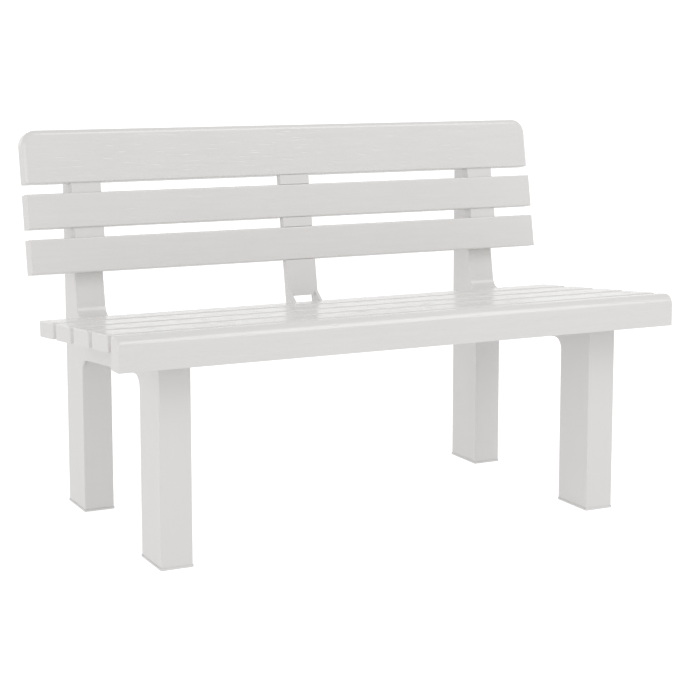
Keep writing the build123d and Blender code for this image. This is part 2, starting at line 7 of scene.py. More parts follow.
import bmesh
import bpy
import numpy as np
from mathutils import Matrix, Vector


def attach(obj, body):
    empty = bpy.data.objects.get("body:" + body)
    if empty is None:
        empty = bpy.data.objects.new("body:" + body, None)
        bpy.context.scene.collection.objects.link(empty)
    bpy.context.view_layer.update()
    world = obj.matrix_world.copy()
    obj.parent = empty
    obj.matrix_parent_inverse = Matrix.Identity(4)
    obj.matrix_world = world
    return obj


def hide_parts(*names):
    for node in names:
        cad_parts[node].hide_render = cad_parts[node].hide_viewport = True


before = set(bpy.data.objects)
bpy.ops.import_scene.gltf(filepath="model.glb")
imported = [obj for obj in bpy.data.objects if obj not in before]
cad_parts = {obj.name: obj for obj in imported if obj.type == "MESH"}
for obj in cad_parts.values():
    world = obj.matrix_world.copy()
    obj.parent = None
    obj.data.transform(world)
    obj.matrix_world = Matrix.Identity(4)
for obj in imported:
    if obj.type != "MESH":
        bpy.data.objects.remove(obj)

log = logging.getLogger("garden_bench")

BODY = "root"
SEAT_SLOPE = math.radians(4.74)
BACK_LEAN = math.radians(10.26)
MERGE_GAP = 1e-6

Colour = tuple[float, float, float, float]
Point = tuple[float, float, float]
Span = tuple[float, float]

WHOLE: Span = (0.0, 1.0)


class Slot(Enum):
    """Material slots of the pieces that the scene makes anew."""

    BOARDS = "boards"
    STEEL = "steel"


class Inlet(Enum):
    """Kinds of named inputs of a shape tree."""

    NUMBER = "NodeSocketFloat"
    COUNT = "NodeSocketInt"
    POINT = "NodeSocketVector"
    FINISH = "NodeSocketMaterial"


class NodeSheet:
    """A node tree under construction."""

    def __init__(self, tree: bpy.types.NodeTree) -> None:
        """Keeps the tree that the nodes go into."""
        self.tree = tree

    def add(self, kind: str, inputs: dict | None = None, **settings: object) -> bpy.types.Node:
        """Adds one node.

        Args:
            kind: Blender's name for the kind of node.
            inputs: Input name or number to a value, or to the output that feeds it.
            settings: Properties of the node.

        Returns:
            The new node.
        """
        node = self.tree.nodes.new(kind)
        for name, value in settings.items():
            setattr(node, name, value)
        for key, value in (inputs or {}).items():
            if isinstance(value, bpy.types.NodeSocket):
                self.tree.links.new(value, node.inputs[key])
            else:
                node.inputs[key].default_value = value
        return node

    def feed(self, inlet: bpy.types.NodeSocket, *outputs: bpy.types.NodeSocket) -> None:
        """Links one or more outputs to an input."""
        for output in outputs:
            self.tree.links.new(output, inlet)

    def sum(self, operation: str, *values: object) -> bpy.types.NodeSocket:
        """Adds a sum on numbers or outputs, such as MULTIPLY, and returns the output with the result."""
        return self.add("ShaderNodeMath", dict(enumerate(values)), operation=operation).outputs[0]

    def between(self, value: object, span: Span, result: Span) -> bpy.types.NodeSocket:
        """Maps a number from one span to another, with soft ends.

        Args:
            value: Number or output.
            span: Start and end of the span that it comes from.
            result: What it gives up to that start, and from that end on.

        Returns:
            The output with the result.
        """
        ends = {"From Min": span[0], "From Max": span[1], "To Min": result[0], "To Max": result[1]}
        mapped = self.add("ShaderNodeMapRange", {"Value": value, **ends}, interpolation_type="SMOOTHSTEP")
        return mapped.outputs[0]

    def point(self, x: object, y: object, z: object) -> bpy.types.NodeSocket:
        """Joins three numbers to a point and returns its output."""
        return self.add("ShaderNodeCombineXYZ", {0: x, 1: y, 2: z}).outputs[0]

    def noise(self, place: bpy.types.NodeSocket, scale: float, detail: float) -> bpy.types.NodeSocket:
        """Adds a noise, mostly between 0.3 and 0.7, and returns its output."""
        settings = {"Vector": place, "Scale": scale, "Detail": detail}
        return self.add("ShaderNodeTexNoise", settings).outputs[0]

    def shade(self, share: bpy.types.NodeSocket, dark: Colour, light: Colour) -> bpy.types.NodeSocket:
        """Mixes two tones by the light one's share and returns the output with the colour."""
        # A Mix node has its colours at inputs 6 and 7 and at output 2.
        return self.add("ShaderNodeMix", {0: share, 6: dark, 7: light}, data_type="RGBA").outputs[2]

    def relief(
        self, height: bpy.types.NodeSocket, distance: float, under: bpy.types.NodeSocket | None = None
    ) -> bpy.types.NodeSocket:
        """Adds a relief to the shading.

        Args:
            height: Output with the height, from 0 to 1.
            distance: What a height of 1 stands for, in metres.
            under: Output of a relief that this one lies on.

        Returns:
            The output with the relief.
        """
        inputs = {"Height": height, "Distance": distance, "Strength": 1.0}
        if under is not None:
            inputs["Normal"] = under
        return self.add("ShaderNodeBump", inputs).outputs[0]


class ShapeTree(NodeSheet):
    """A Geometry Nodes tree with named inputs, which turns a start mesh into a finished one.

    Attributes:
        sharp_angle: Bend from which an edge stays crisp, in radians.
    """

    sharp_angle: float = math.radians(32.0)

    def __init__(self, name: str) -> None:
        """Makes an empty tree.

        Args:
            name: Name of the tree.
        """
        super().__init__(bpy.data.node_groups.new(name, "GeometryNodeTree"))
        face = self.tree.interface
        face.new_socket("Start", in_out="INPUT", socket_type="NodeSocketGeometry")
        face.new_socket("Shape", in_out="OUTPUT", socket_type="NodeSocketGeometry")
        self.entry = self.add("NodeGroupInput")
        self.start = self.entry.outputs["Start"]

    def inlet(self, name: str, kind: Inlet) -> bpy.types.NodeSocket:
        """Adds a named input and returns the output that gives its value inside the tree."""
        self.tree.interface.new_socket(name, in_out="INPUT", socket_type=kind.value)
        return self.entry.outputs[name]

    def split_position(self) -> bpy.types.Node:
        """Adds a node that gives a point's X, Y and Z."""
        return self.add("ShaderNodeSeparateXYZ", {0: self.add("GeometryNodeInputPosition").outputs[0]})

    def turn_about_x(self, angle: bpy.types.NodeSocket) -> bpy.types.NodeSocket:
        """Adds a turn about X and returns its output."""
        return self.add("FunctionNodeEulerToRotation", {0: self.point(angle, 0.0, 0.0)}).outputs[0]

    def solid(
        self, operation: str, *shapes: bpy.types.NodeSocket, body: bpy.types.NodeSocket | None = None
    ) -> bpy.types.NodeSocket:
        """Joins closed shapes, keeps what they share, or cuts them out of a body.

        Args:
            operation: Blender's name of the operation, such as UNION.
            shapes: Outputs with the shapes.
            body: Output with the body that a DIFFERENCE cuts.

        Returns:
            The output with the new shape.
        """
        node = self.add("GeometryNodeMeshBoolean", operation=operation, solver="MANIFOLD")
        if body is not None:
            self.feed(node.inputs["Mesh 1"], body)
        self.feed(node.inputs["Mesh 2"], *shapes)
        return node.outputs["Mesh"]

    def close(self, shape: bpy.types.NodeSocket, finish: bpy.types.NodeSocket) -> None:
        """Ends the tree in plain smooth geometry with its finish.

        Args:
            shape: Output with the geometry.
            finish: Output with the material.
        """
        plain = self.add("GeometryNodeRealizeInstances", {0: shape}).outputs[0]
        smooth = self.add("GeometryNodeSetShadeSmooth", {0: plain, "Shade Smooth": True}).outputs[0]
        bend = self.add("GeometryNodeInputMeshEdgeAngle").outputs["Unsigned Angle"]
        sharp = self.add(
            "FunctionNodeCompare",
            {0: bend, 1: self.sharp_angle},
            data_type="FLOAT",
            operation="GREATER_THAN",
        ).outputs[0]
        crisp = self.add(
            "GeometryNodeSetShadeSmooth",
            {0: smooth, "Selection": sharp, "Shade Smooth": False},
            domain="EDGE",
        ).outputs[0]
        dressed = self.add("GeometryNodeSetMaterial", {0: crisp, "Material": finish}).outputs[0]
        self.add("NodeGroupOutput", {0: dressed})

    def make(self, name: str, start: bpy.types.Mesh, values: dict[str, object]) -> bpy.types.Object:
        """Runs the tree once and keeps what it gives as a plain mesh.

        Args:
            name: Name of the finished piece.
            start: Mesh that the tree starts from.
            values: Input name to value.

        Returns:
            The finished object, at the origin.
        """
        piece = bpy.data.objects.new(name, start)
        bpy.context.scene.collection.objects.link(piece)
        modifier = piece.modifiers.new("shape", "NODES")
        modifier.node_group = self.tree
        for item in self.tree.interface.items_tree:
            if item.in_out == "INPUT" and item.name in values:
                modifier[item.identifier] = values[item.name]
        even = piece.modifiers.new("even_shading", "WEIGHTED_NORMAL")
        even.keep_sharp = True
        graph = bpy.context.evaluated_depsgraph_get()
        finished = bpy.data.meshes.new_from_object(piece.evaluated_get(graph))
        piece.modifiers.clear()
        piece.data = finished
        bpy.data.meshes.remove(start)
        finished.name = name
        return piece


def bare_material(name: str) -> tuple[bpy.types.Material, NodeSheet]:
    """Makes a material with no nodes yet.

    Args:
        name: Name of the material.

    Returns:
        The material, and the sheet that its nodes go on.
    """
    made = bpy.data.materials.new(name)
    made.use_nodes = True
    made.node_tree.nodes.clear()
    return made, NodeSheet(made.node_tree)


@dataclass(frozen=True)
class WhitePlastic:
    """White moulded plastic with a soft gloss.

    Attributes:
        name: Name of the material.
        light: Its light tone.
        dark: Its dark tone.
        tone_span: Noise at which the dark tone ends, and the light one is reached.
        roughness: Lowest and highest roughness.
        roughness_span: Noise at which these two are reached.
        ior: How strongly it bends light.
        stretch: Waves per metre of its flow streaks along each axis.
        streak_detail: How much finer noise is laid over them.
        streak_share: Share of the streaks in the tone, where clouds are the rest.
        streak_height: Height of the streaks, in metres.
        cloud_scale: Waves per metre of the clouds.
        cloud_detail: How much finer noise is laid over them.
        skin_scale: Waves per metre of the moulded skin.
        skin_detail: How much finer noise is laid over it.
        skin_height: Height of the skin, in metres.
    """

    name: str
    light: Colour = (0.785, 0.772, 0.76, 1.0)
    dark: Colour = (0.77, 0.757, 0.743, 1.0)
    tone_span: Span = (0.35, 0.65)
    roughness: Span = (0.18, 0.24)
    roughness_span: Span = (0.3, 0.7)
    ior: float = 1.7
    stretch: Point = (9.0, 150.0, 150.0)
    streak_detail: float = 2.0
    streak_share: float = 0.6
    streak_height: float = 0.000015
    cloud_scale: float = 7.0
    cloud_detail: float = 3.0
    skin_scale: float = 420.0
    skin_detail: float = 2.0
    skin_height: float = 0.000008

    def material(self) -> bpy.types.Material:
        """Makes the material: flow streaks in tone, gloss and relief, and a fine moulded skin.

        Returns:
            The new material.
        """
        made, sheet = bare_material(self.name)
        place = sheet.add("ShaderNodeTexCoord").outputs["Object"]
        along = sheet.add("ShaderNodeMapping", {"Vector": place, "Scale": self.stretch}).outputs[0]
        streak = sheet.noise(along, 1.0, self.streak_detail)
        cloud = sheet.noise(place, self.cloud_scale, self.cloud_detail)
        skin = sheet.noise(place, self.skin_scale, self.skin_detail)
        clouds = sheet.sum("MULTIPLY", cloud, 1.0 - self.streak_share)
        mixed = sheet.sum("MULTIPLY_ADD", streak, self.streak_share, clouds)
        tone = sheet.shade(sheet.between(mixed, self.tone_span, WHOLE), self.dark, self.light)
        rough = sheet.between(streak, self.roughness_span, self.roughness)
        skin_relief = sheet.relief(skin, self.skin_height)
        relief = sheet.relief(streak, self.streak_height, skin_relief)
        shader = sheet.add(
            "ShaderNodeBsdfPrincipled",
            {"Base Color": tone, "Roughness": rough, "IOR": self.ior, "Normal": relief},
        )
        sheet.add("ShaderNodeOutputMaterial", {"Surface": shader.outputs[0]})
        return made


@dataclass(frozen=True)
class ZincSteel:
    """Zinc-plated steel of screws, bolt and nut.

    Attributes:
        name: Name of the material.
        light: Its light tone.
        dark: Its dark tone.
        roughness: Lowest and highest roughness.
        cloud_scale: Waves per metre of the clouds in the plating.
        cloud_detail: How much finer noise is laid over them.
        cloud_span: Noise at which the dark tone ends, and the light one is reached.
    """

    name: str
    light: Colour = (0.66, 0.66, 0.65, 1.0)
    dark: Colour = (0.5, 0.5, 0.51, 1.0)
    roughness: Span = (0.28, 0.45)
    cloud_scale: float = 300.0
    cloud_detail: float = 4.0
    cloud_span: Span = (0.3, 0.7)

    def material(self) -> bpy.types.Material:
        """Makes the material: a clouded metal with a fine grain.

        Returns:
            The new material.
        """
        made, sheet = bare_material(self.name)
        place = sheet.add("ShaderNodeTexCoord").outputs["Object"]
        cloud = sheet.noise(place, self.cloud_scale, self.cloud_detail)
        tone = sheet.shade(sheet.between(cloud, self.cloud_span, WHOLE), self.dark, self.light)
        rough = sheet.between(cloud, self.cloud_span, self.roughness)
        shader = sheet.add(
            "ShaderNodeBsdfPrincipled",
            {"Base Color": tone, "Roughness": rough, "Metallic": 1.0},
        )
        sheet.add("ShaderNodeOutputMaterial", {"Surface": shader.outputs[0]})
        return made


@dataclass(frozen=True)
class PaleFloor:
    """Pale studio floor with a light of its own, lifted to near white where the camera sees it.

    Attributes:
        name: Name of the material.
        colour: How much of the light on it the floor gives back.
        glow: Brightness of its own light.
        lift: What is added to that where the camera sees it.
    """

    name: str = "pale_floor"
    colour: Colour = (0.4, 0.4, 0.4, 1.0)
    glow: float = 0.5
    lift: float = 0.42

    def material(self) -> bpy.types.Material:
        """Makes the material.

        Returns:
            The new material.
        """
        made, sheet = bare_material(self.name)
        seen = sheet.add("ShaderNodeLightPath").outputs["Is Camera Ray"]
        level = sheet.sum("MULTIPLY_ADD", seen, self.lift, self.glow)
        glow = sheet.add("ShaderNodeEmission", {"Strength": level})
        matt = sheet.add("ShaderNodeBsdfDiffuse", {"Color": self.colour})
        both = sheet.add("ShaderNodeAddShader", {0: matt.outputs[0], 1: glow.outputs[0]})
        sheet.add("ShaderNodeOutputMaterial", {"Surface": both.outputs[0]})
        return made


GRAINED_PLASTIC = WhitePlastic("grained_white_plastic")
SMOOTH_PLASTIC = WhitePlastic(
    "smooth_white_plastic",
    dark=(0.78, 0.767, 0.755, 1.0),
    roughness=(0.17, 0.22),
    stretch=(14.0, 14.0, 5.0),
    streak_height=0.00001,
)
MATT_PLASTIC = WhitePlastic("matt_white_plastic", roughness=(0.5, 0.6))
PLATED_STEEL = ZincSteel("zinc_plated_steel")


def points_of(node: str) -> np.ndarray:
    """Reads a CAD node's vertices.

    Args:
        node: Name of the node.

    Returns:
        One row per vertex, in metres.
    """
    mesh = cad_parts[node].data
    places = np.zeros(len(mesh.vertices) * 3, np.float32)
    mesh.vertices.foreach_get("co", places)
    return places.reshape(-1, 3).astype(float)


def merged(node: str) -> bmesh.types.BMesh:
    """Reads a CAD node's mesh and joins its loose triangles.

    Args:
        node: Name of the node.

    Returns:
        A closed mesh, which the caller frees.
    """
    work = bmesh.new()
    work.from_mesh(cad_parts[node].data)
    bmesh.ops.remove_doubles(work, verts=work.verts, dist=MERGE_GAP)
    return work


def merged_copy(node: str) -> bpy.types.Mesh:
    """Copies a CAD node's mesh with its loose triangles joined.

    Args:
        node: Name of the node.

    Returns:
        A new closed mesh with no material.
    """
    work = merged(node)
    copy = bpy.data.meshes.new(node + "_copy")
    work.to_mesh(copy)
    work.free()
    return copy


def islands_of(node: str) -> list[np.ndarray]:
    """Splits a CAD node into its separate solids.

    Args:
        node: Name of the node.

    Returns:
        The vertices of each solid.
    """
    work = merged(node)
    seen: set[bmesh.types.BMVert] = set()
    found = []
    for first in work.verts:
        if first in seen:
            continue
        seen.add(first)
        group, queue = [], [first]
        while queue:
            vert = queue.pop()
            group.append(vert.co[:])
            for edge in vert.link_edges:
                other = edge.other_vert(vert)
                if other not in seen:
                    seen.add(other)
                    queue.append(other)
        found.append(np.array(group))
    work.free()
    return found


def dress(node: str, finish: bpy.types.Material) -> None:
    """Gives a CAD node its finish.

    Args:
        node: Name of the node.
        finish: The material.
    """
    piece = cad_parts[node]
    for place in piece.material_slots:
        place.material = finish
    log.info("%s: %s", node, finish.name)


def keep(piece: bpy.types.Object, node: str) -> None:
    """Puts a finished piece in the place of a CAD node.

    Args:
        piece: The finished piece.
        node: Name of the node that it stands for.
    """
    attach(piece, BODY)
    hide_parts(node)
    log.info("%s: %d faces in the place of %s", piece.name, len(piece.data.polygons), node)


@dataclass
class GrainTool:
    """Cuts a moulded wood grain into the show face of a board.

    The tree lays a fine sheet on the face, sinks it by the grain, thickens it to a block that reaches past
    the board, and keeps what the board and the block share.

    Attributes:
        skin: How far the sheet lies under the face at least, in metres.
        face_gap: How far under the face a vertex still counts as on it, in metres.
        fibre_depth: Depth of the fibres, in metres.
        margin: How far sheet and block reach past the board, in metres.
        step_along: Mesh size along the board, in metres.
        step_across: Mesh size across it, in metres.
        pore_scale: Waves per metre of the pores, along and across.
        pore_span: Noise at which a pore starts and reaches its depth.
        pore_detail: How much finer noise is laid over the pores.
        fibre_scale: Waves per metre of the fibres, along and across.
        fibre_span: Noise at which a fibre starts and reaches its depth.
        fibre_detail: How much finer noise is laid over the fibres.
        fibre_seed: What sets the fibres' pattern apart from the pores'.
        sway: How far the grain sways across the board, in metres.
        sway_scale: Waves per metre of the sway, along and across.
        sway_detail: How much finer noise is laid over the sway.
        tree: The tree that cuts the grain.
        given: Name of each input to the output that gives its value.
    """

    INLETS: ClassVar[dict[str, Inlet]] = {
        "Place": Inlet.POINT,
        "Tilt": Inlet.NUMBER,
        "Length": Inlet.NUMBER,
        "Low": Inlet.NUMBER,
        "Reach": Inlet.NUMBER,
        "Flat": Inlet.NUMBER,
        "Nose": Inlet.NUMBER,
        "Nose turn": Inlet.NUMBER,
        "Back": Inlet.NUMBER,
        "Pore depth": Inlet.NUMBER,
        "Fibre depth": Inlet.NUMBER,
        "Seed": Inlet.NUMBER,
        "Columns": Inlet.COUNT,
        "Rows": Inlet.COUNT,
        "Finish": Inlet.FINISH,
    }

    skin: float = 0.00002
    face_gap: float = 0.00001
    fibre_depth: float = 0.00002
    margin: float = 0.01
    step_along: float = 0.0035
    step_across: float = 0.0007
    pore_scale: Span = (30.0, 230.0)
    pore_span: Span = (0.6, 0.7)
    pore_detail: float = 1.0
    fibre_scale: Span = (18.0, 420.0)
    fibre_span: Span = (0.4, 0.65)
    fibre_detail: float = 2.0
    fibre_seed: float = 5.0
    sway: float = 0.01
    sway_scale: Span = (2.2, 9.0)
    sway_detail: float = 1.0
    tree: ShapeTree = field(init=False)
    given: dict[str, bpy.types.NodeSocket] = field(init=False)

    def __post_init__(self) -> None:
        """Builds the tree that cuts the grain."""
        self.tree = ShapeTree("moulded_grain")
        self.given = {name: self.tree.inlet(name, kind) for name, kind in self.INLETS.items()}
        tree, given = self.tree, self.given
        grid = tree.add(
            "GeometryNodeMeshGrid",
            {
                "Size X": given["Length"],
                "Size Y": given["Reach"],
                "Vertices X": given["Columns"],
                "Vertices Y": given["Rows"],
            },
        ).outputs[0]
        split = tree.split_position()
        along = split.outputs[0]
        run = tree.sum("MULTIPLY_ADD", given["Reach"], 0.5, split.outputs[1])
        place = self.on_face(along, run, self.depth(along, run))
        face = tree.add("GeometryNodeSetPosition", {0: grid, "Position": place}).outputs[0]
        tree.close(tree.solid("INTERSECT", tree.start, self.block(face)), given["Finish"])

    def streaks(
        self,
        along: bpy.types.NodeSocket,
        across: bpy.types.NodeSocket,
        seed: bpy.types.NodeSocket,
        scale: Span,
        detail: float,
    ) -> bpy.types.NodeSocket:
        """Adds a noise that is drawn out along the board.

        Args:
            along: Output with the place along the board.
            across: Output with the place across it.
            seed: Output with the number that picks the pattern.
            scale: Waves per metre along and across.
            detail: How much finer noise is laid over it.

        Returns:
            The output with the noise, mostly between 0.3 and 0.7.
        """
        tree = self.tree
        far, wide = tree.sum("MULTIPLY", along, scale[0]), tree.sum("MULTIPLY", across, scale[1])
        settings = {"Vector": tree.point(far, wide, 0.0), "W": seed, "Scale": 1.0, "Detail": detail}
        return tree.add("ShaderNodeTexNoise", settings, noise_dimensions="4D").outputs[0]

    def depth(self, along: bpy.types.NodeSocket, run: bpy.types.NodeSocket) -> bpy.types.NodeSocket:
        """Adds up the depth of pores and fibres.

        Args:
            along: Output with the place along the board.
            run: Output with the place across it, from the sheet's lower edge.

        Returns:
            The output with the depth under the face.
        """
        tree, seed = self.tree, self.given["Seed"]
        swing = self.streaks(along, run, seed, self.sway_scale, self.sway_detail)
        swung = tree.sum("MULTIPLY_ADD", tree.sum("SUBTRACT", swing, 0.5), self.sway, run)
        pores = self.streaks(along, swung, seed, self.pore_scale, self.pore_detail)
        other_seed = tree.sum("ADD", seed, self.fibre_seed)
        fibres = self.streaks(along, swung, other_seed, self.fibre_scale, self.fibre_detail)
        pore = tree.between(pores, self.pore_span, WHOLE)
        fibre = tree.between(fibres, self.fibre_span, WHOLE)
        depth = tree.sum("MULTIPLY_ADD", fibre, self.given["Fibre depth"], self.skin)
        return tree.sum("MULTIPLY_ADD", pore, self.given["Pore depth"], depth)

    def on_face(
        self, along: bpy.types.NodeSocket, run: bpy.types.NodeSocket, depth: bpy.types.NodeSocket
    ) -> bpy.types.NodeSocket:
        """Lays the sheet's points under the show face: flat, then round the nose, then straight on.

        Args:
            along: Output with the place along the board.
            run: Output with the place across it, from the sheet's lower edge.
            depth: Output with the depth under the face.

        Returns:
            The output with the point: along the board, up its face and out of it.
        """
        tree = self.tree
        flat, nose, nose_turn = self.given["Flat"], self.given["Nose"], self.given["Nose turn"]
        past = tree.sum("SUBTRACT", run, flat)
        turn = tree.sum("MINIMUM", tree.sum("MAXIMUM", tree.sum("DIVIDE", past, nose), 0.0), nose_turn)
        rest = tree.sum("MAXIMUM", tree.sum("SUBTRACT", past, tree.sum("MULTIPLY", nose, nose_turn)), 0.0)
        rise, lean = tree.sum("SINE", turn), tree.sum("COSINE", turn)
        up = tree.sum("ADD", tree.sum("MINIMUM", run, flat), self.given["Low"])
        up = tree.sum("MULTIPLY_ADD", nose, rise, up)
        up = tree.sum("MULTIPLY_ADD", rest, lean, up)
        up = tree.sum("SUBTRACT", up, tree.sum("MULTIPLY", rise, depth))
        out = tree.sum("MULTIPLY", tree.sum("SUBTRACT", lean, 1.0), nose)
        out = tree.sum("SUBTRACT", out, tree.sum("MULTIPLY", rest, rise))
        out = tree.sum("SUBTRACT", out, tree.sum("MULTIPLY", lean, depth))
        return tree.point(along, up, out)

    def block(self, face: bpy.types.NodeSocket) -> bpy.types.NodeSocket:
        """Thickens the sheet to a closed block and turns it on to the board.

        Args:
            face: Output with the sheet.

        Returns:
            The output with the block.
        """
        tree = self.tree
        inward = {"Offset": tree.point(0.0, 0.0, -1.0), "Offset Scale": self.given["Back"]}
        pushed = tree.add("GeometryNodeExtrudeMesh", {0: face, **inward, "Individual": False}).outputs[0]
        both = tree.add("GeometryNodeJoinGeometry")
        tree.feed(both.inputs[0], face, tree.add("GeometryNodeFlipFaces", {0: pushed}).outputs[0])
        joined = {0: both.outputs[0], "Distance": MERGE_GAP}
        closed = tree.add("GeometryNodeMergeByDistance", joined).outputs[0]
        way = {"Translation": self.given["Place"], "Rotation": tree.turn_about_x(self.given["Tilt"])}
        return tree.add("GeometryNodeTransform", {0: closed, **way}).outputs[0]

    def cut(
        self,
        node: str,
        tilt: float,
        seed: float,
        pore_depth: float,
        finish: bpy.types.Material,
        nose: float = 0.0,
        nose_turn: float = 0.0,
    ) -> bpy.types.Object:
        """Cuts the grain into one board.

        Args:
            node: CAD node of the board.
            tilt: Turn about X, in radians, from level to the show face.
            seed: Number that sets this board's own grain.
            pore_depth: Depth of the pores, in metres.
            finish: The material.
            nose: Radius of a rounded upper edge, or nothing.
            nose_turn: How far round that edge the grain goes, in radians.

        Returns:
            The finished board.
        """
        places = points_of(node)
        across = np.array((0.0, math.cos(tilt), math.sin(tilt)))
        outward = np.array((0.0, -math.sin(tilt), math.cos(tilt)))
        spread, height = places @ across, places @ outward
        face = height.max()
        low = spread.min() - self.margin
        reach = spread.max() - low + self.margin
        flat = reach
        if nose:
            flat = spread[height > face - self.face_gap].max() - low
        length = 2 * (places[:, 0].max() + self.margin)
        values = {
            "Place": tuple(outward * face),
            "Tilt": tilt,
            "Length": length,
            "Low": low,
            "Reach": reach,
            "Flat": flat,
            "Nose": nose,
            "Nose turn": nose_turn,
            "Back": height.max() - height.min() + self.margin,
            "Pore depth": pore_depth,
            "Fibre depth": self.fibre_depth,
            "Seed": seed,
            "Columns": int(length / self.step_along),
            "Rows": int(reach / self.step_across),
            "Finish": finish,
        }
        return self.tree.make(node + "_grained", merged_copy(node), values)


@dataclass
class SeatSlats:
    """The slats of the seat."""

    grain: GrainTool
    slope: float = SEAT_SLOPE
    pore_depth: float = 0.0004
    first_seed: float = 3.0
    seed_step: float = 11.0
    nodes: tuple[str, ...] = ("seat_slat_1", "seat_slat_2", "seat_slat_3", "seat_slat_4")

    def build(self, finish: bpy.types.Material) -> None:
        """Cuts each slat's grain and puts it in place.

        Args:
            finish: The material.
        """
        for number, node in enumerate(self.nodes):
            seed = self.first_seed + self.seed_step * number
            piece = self.grain.cut(node, -self.slope, seed, self.pore_depth, finish)
            keep(piece, node)


@dataclass
class BackSlats:
    """The slats of the back."""

    grain: GrainTool
    lean: float = BACK_LEAN
    pore_depth: float = 0.00018
    first_seed: float = 61.0
    seed_step: float = 13.0
    nodes: tuple[str, ...] = ("back_slat_lower", "back_slat_middle", "back_slat_top")

    def build(self, finish: bpy.types.Material) -> None:
        """Cuts each slat's grain and puts it in place.

        Args:
            finish: The material.
        """
        tilt = math.pi / 2 - self.lean
        for number, node in enumerate(self.nodes):
            seed = self.first_seed + self.seed_step * number
            piece = self.grain.cut(node, tilt, seed, self.pore_depth, finish)
            keep(piece, node)


@dataclass
class FrontBoard:
    """The deep board at the front of the seat, with its rounded nose."""

    grain: GrainTool
    nose: float = 0.02
    nose_turn: float = math.radians(62.0)
    pore_depth: float = 0.0003
    seed: float = 113.0
    node: str = "front_board"

    def build(self, finish: bpy.types.Material) -> None:
        """Cuts the board's grain over its front and its nose and puts it in place.

        Args:
            finish: The material.
        """
        tilt = math.pi / 2
        piece = self.grain.cut(
            self.node, tilt, self.seed, self.pore_depth, finish, self.nose, self.nose_turn
        )
        keep(piece, self.node)


@dataclass(frozen=True)
class ScrewRow:
    """One group of like screws.

    Attributes:
        node: CAD node of the group.
        tilt: Turn about X, in radians, from upright to the way the screws go in.
    """

    node: str
    tilt: float


